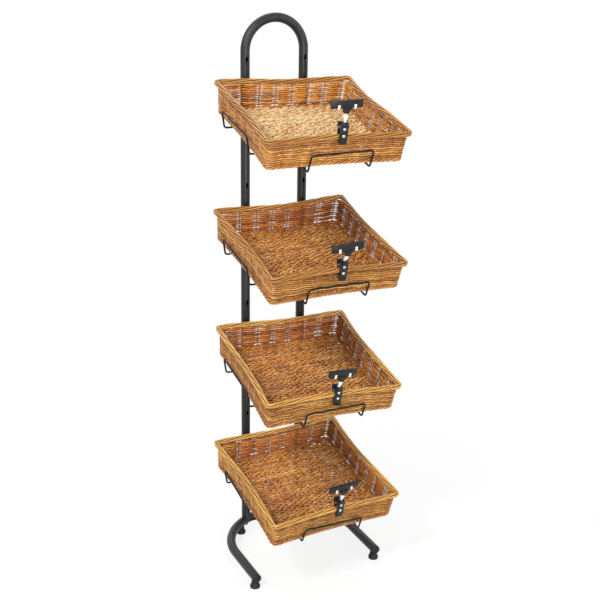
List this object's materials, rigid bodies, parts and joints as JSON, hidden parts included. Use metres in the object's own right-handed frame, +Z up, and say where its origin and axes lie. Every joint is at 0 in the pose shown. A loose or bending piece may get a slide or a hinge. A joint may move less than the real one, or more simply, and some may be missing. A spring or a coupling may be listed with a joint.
{
  "type": "bakery bread rack",
  "caption": "Narrow tubular steel stand with tilted square wicker baskets one above the other in hooked wire cradles, each with a sign clip on its front rim; for loose bread and rolls.",
  "frame": {"origin": "on the floor, under the middle of the whole outline", "axes": "+X to the right as a shopper sees the rack, +Y to its back, +Z up"},
  "size_m": [0.409, 0.4736, 1.5162],
  "materials": {
    "coat": "satin dark grey powder coat on steel tube",
    "wire": "satin black coat on steel wire",
    "foot_rubber": "matt black",
    "willow": "peeled and varnished willow, woven",
    "rim_willow": "peeled and varnished willow, rolled border",
    "black_plastic": "moulded black plastic",
    "pale_plastic": "moulded milky plastic",
    "steel": "bright zinc plated"
  },
  "bodies": {
    "stand": {"upright_frame": "coat", "base_tube": "coat", "end_cap_left": "foot_rubber", "end_cap_right": "foot_rubber", "upright_plug_left": "steel", "upright_plug_right": "steel", "upright_bolt_left": "steel", "upright_bolt_right": "steel"},
    "levelling_foot_front_left": {"foot_front_left": "foot_rubber"},
    "levelling_foot_front_right": {"foot_front_right": "foot_rubber"},
    "levelling_foot_rear_left": {"foot_rear_left": "foot_rubber"},
    "levelling_foot_rear_right": {"foot_rear_right": "foot_rubber"},
    "cradle_1": {"cradle_1_main_wire": "wire", "cradle_1_cross_wire": "wire"},
    "basket_1": {"basket_1_base": "willow", "basket_1_wall": "willow", "basket_1_rim": "rim_willow", "clip_1_front_jaw": "black_plastic", "clip_1_pin": "steel", "clip_1_spring": "steel"},
    "clip_1_lever": {"clip_1_rear_jaw": "black_plastic"},
    "clip_1_link": {"clip_1_neck": "pale_plastic"},
    "clip_1_holder": {"clip_1_head": "black_plastic", "clip_1_fingers": "pale_plastic"},
    "cradle_2": {"cradle_2_main_wire": "wire", "cradle_2_cross_wire": "wire"},
    "basket_2": {"basket_2_base": "willow", "basket_2_wall": "willow", "basket_2_rim": "rim_willow", "clip_2_front_jaw": "black_plastic", "clip_2_pin": "steel", "clip_2_spring": "steel"},
    "clip_2_lever": {"clip_2_rear_jaw": "black_plastic"},
    "clip_2_link": {"clip_2_neck": "pale_plastic"},
    "clip_2_holder": {"clip_2_head": "black_plastic", "clip_2_fingers": "pale_plastic"},
    "cradle_3": {"cradle_3_main_wire": "wire", "cradle_3_cross_wire": "wire"},
    "basket_3": {"basket_3_base": "willow", "basket_3_wall": "willow", "basket_3_rim": "rim_willow", "clip_3_front_jaw": "black_plastic", "clip_3_pin": "steel", "clip_3_spring": "steel"},
    "clip_3_lever": {"clip_3_rear_jaw": "black_plastic"},
    "clip_3_link": {"clip_3_neck": "pale_plastic"},
    "clip_3_holder": {"clip_3_head": "black_plastic", "clip_3_fingers": "pale_plastic"},
    "cradle_4": {"cradle_4_main_wire": "wire", "cradle_4_cross_wire": "wire"},
    "basket_4": {"basket_4_base": "willow", "basket_4_wall": "willow", "basket_4_rim": "rim_willow", "clip_4_front_jaw": "black_plastic", "clip_4_pin": "steel", "clip_4_spring": "steel"},
    "clip_4_lever": {"clip_4_rear_jaw": "black_plastic"},
    "clip_4_link": {"clip_4_neck": "pale_plastic"},
    "clip_4_holder": {"clip_4_head": "black_plastic", "clip_4_fingers": "pale_plastic"}
  },
  "joints": [
    {"name": "foot_front_left_screw", "type": "slide", "parent": "stand", "child": "levelling_foot_front_left", "axis": [0, 0, -1], "range_m": [0, 0.008]},
    {"name": "foot_front_right_screw", "type": "slide", "parent": "stand", "child": "levelling_foot_front_right", "axis": [0, 0, -1], "range_m": [0, 0.008]},
    {"name": "foot_rear_left_screw", "type": "slide", "parent": "stand", "child": "levelling_foot_rear_left", "axis": [0, 0, -1], "range_m": [0, 0.008]},
    {"name": "foot_rear_right_screw", "type": "slide", "parent": "stand", "child": "levelling_foot_rear_right", "axis": [0, 0, -1], "range_m": [0, 0.008]},
    {"name": "cradle_1_unhook", "type": "slide", "parent": "stand", "child": "cradle_1", "axis": [0, 0, 1], "range_m": [0, 0.01]},
    {"name": "basket_1_lift", "type": "slide", "parent": "cradle_1", "child": "basket_1", "axis": [0, -0.225, 0.9744], "range_m": [0, 0.11]},
    {"name": "clip_1_open", "type": "hinge", "parent": "basket_1", "child": "clip_1_lever", "pos_m": [-0.00256, -0.20199, 1.28469], "axis": [0.9989, -0.0459, -0.0106], "range_deg": [0, 14], "stiffness_Nm_per_rad": 0.25, "springref_deg": -34.38, "deforming": ["clip_1_spring"]},
    {"name": "clip_1_neck_tilt", "type": "hinge", "parent": "basket_1", "child": "clip_1_link", "pos_m": [-0.00293, -0.21337, 1.29848], "axis": [0.9989, -0.0459, -0.0106], "range_deg": [-31, 39]},
    {"name": "clip_1_head_swivel", "type": "hinge", "parent": "clip_1_link", "child": "clip_1_holder", "pos_m": [-0.00285, -0.21713, 1.32219], "axis": [0.0033, -0.1565, 0.9877], "range_deg": [-63, 57]},
    {"name": "cradle_2_unhook", "type": "slide", "parent": "stand", "child": "cradle_2", "axis": [0, 0, 1], "range_m": [0, 0.01]},
    {"name": "basket_2_lift", "type": "slide", "parent": "cradle_2", "child": "basket_2", "axis": [0, -0.225, 0.9744], "range_m": [0, 0.11]},
    {"name": "clip_2_open", "type": "hinge", "parent": "basket_2", "child": "clip_2_lever", "pos_m": [0.00695, -0.19963, 0.93757], "axis": [1, 0.0051, 0.0012], "range_deg": [0, 14], "stiffness_Nm_per_rad": 0.25, "springref_deg": -34.38, "deforming": ["clip_2_spring"]},
    {"name": "clip_2_neck_tilt", "type": "hinge", "parent": "basket_2", "child": "clip_2_link", "pos_m": [0.00699, -0.21102, 0.95136], "axis": [1, 0.0051, 0.0012], "range_deg": [-61, 9]},
    {"name": "clip_2_head_swivel", "type": "hinge", "parent": "clip_2_link", "child": "clip_2_holder", "pos_m": [0.00705, -0.22612, 0.97002], "axis": [0.0023, -0.6293, 0.7771], "range_deg": [-57, 63]},
    {"name": "cradle_3_unhook", "type": "slide", "parent": "stand", "child": "cradle_3", "axis": [0, 0, 1], "range_m": [0, 0.01]},
    {"name": "basket_3_lift", "type": "slide", "parent": "cradle_3", "child": "basket_3", "axis": [0, -0.225, 0.9744], "range_m": [0, 0.11]},
    {"name": "clip_3_open", "type": "hinge", "parent": "basket_3", "child": "clip_3_lever", "pos_m": [0.00093, -0.1993, 0.5982], "axis": [0.9996, -0.0272, -0.0063], "range_deg": [0, 14], "stiffness_Nm_per_rad": 0.25, "springref_deg": -34.38, "deforming": ["clip_3_spring"]},
    {"name": "clip_3_neck_tilt", "type": "hinge", "parent": "basket_3", "child": "clip_3_link", "pos_m": [0.00071, -0.21069, 0.61199], "axis": [0.9996, -0.0272, -0.0063], "range_deg": [-47, 23]},
    {"name": "clip_3_head_swivel", "type": "hinge", "parent": "clip_3_link", "child": "clip_3_holder", "pos_m": [0.00057, -0.22084, 0.63374], "axis": [-0.0058, -0.4225, 0.9063], "range_deg": [-67, 53]},
    {"name": "cradle_4_unhook", "type": "slide", "parent": "stand", "child": "cradle_4", "axis": [0, 0, 1], "range_m": [0, 0.01]},
    {"name": "basket_4_lift", "type": "slide", "parent": "cradle_4", "child": "basket_4", "axis": [0, -0.225, 0.9744], "range_m": [0, 0.11]},
    {"name": "clip_4_open", "type": "hinge", "parent": "basket_4", "child": "clip_4_lever", "pos_m": [0.01486, -0.20074, 0.2697], "axis": [0.9988, 0.0476, 0.011], "range_deg": [0, 14], "stiffness_Nm_per_rad": 0.25, "springref_deg": -34.38, "deforming": ["clip_4_spring"]},
    {"name": "clip_4_neck_tilt", "type": "hinge", "parent": "basket_4", "child": "clip_4_link", "pos_m": [0.01525, -0.21212, 0.28349], "axis": [0.9988, 0.0476, 0.011], "range_deg": [-45, 25]},
    {"name": "clip_4_head_swivel", "type": "hinge", "parent": "clip_4_link", "child": "clip_4_holder", "pos_m": [0.01545, -0.22149, 0.30559], "axis": [0.0085, -0.3905, 0.9206], "range_deg": [-59, 61]}
  ]
}
